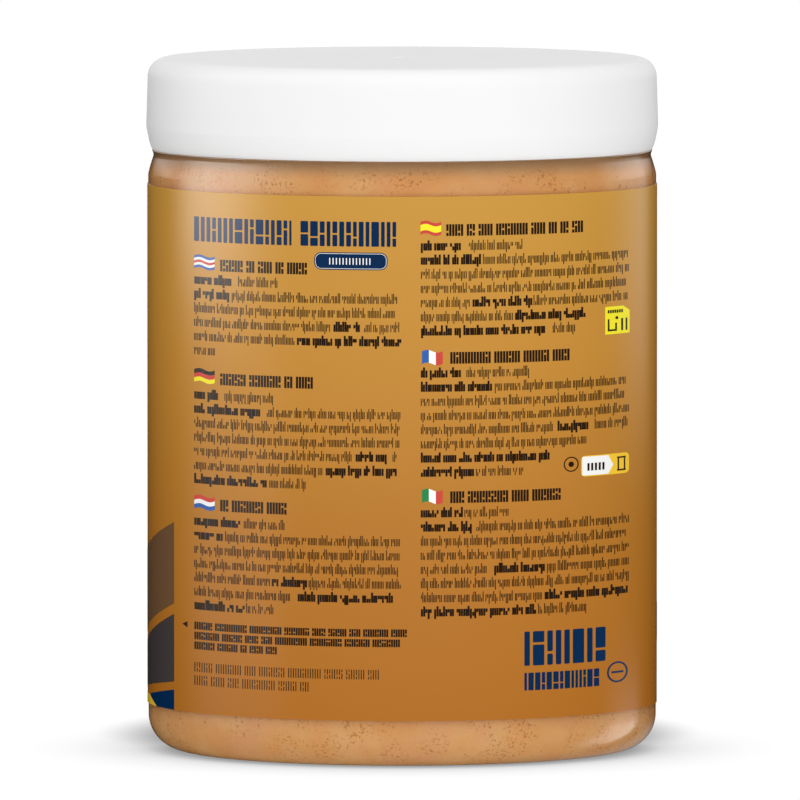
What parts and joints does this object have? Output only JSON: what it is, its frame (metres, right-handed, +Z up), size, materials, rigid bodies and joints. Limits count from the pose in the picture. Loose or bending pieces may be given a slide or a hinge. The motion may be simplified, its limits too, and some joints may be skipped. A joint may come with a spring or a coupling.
{
  "type": "peanut butter jar",
  "caption": "Clear straight-sided plastic tub of peanut butter with a wrap-around printed label and a plain white screw lid, shut and full.",
  "frame": {"origin": "middle of the foot, on the surface that the tub stands on", "axes": "+Z up along the tub's axis; -Y is the side of the label that the picture shows"},
  "size_m": [0.1024, 0.1024, 0.1384],
  "materials": {
    "clear_plastic": "clear polypropylene, glossy",
    "peanut_butter": "crunchy peanut butter, moist and slightly glossy",
    "printed_label": "printed film, satin ochre",
    "white_plastic": "moulded white polypropylene, satin"
  },
  "bodies": {
    "root": {"tub": "clear_plastic", "peanut_butter": "peanut_butter", "label": "printed_label", "lid": "white_plastic"}
  },
  "joints": []
}
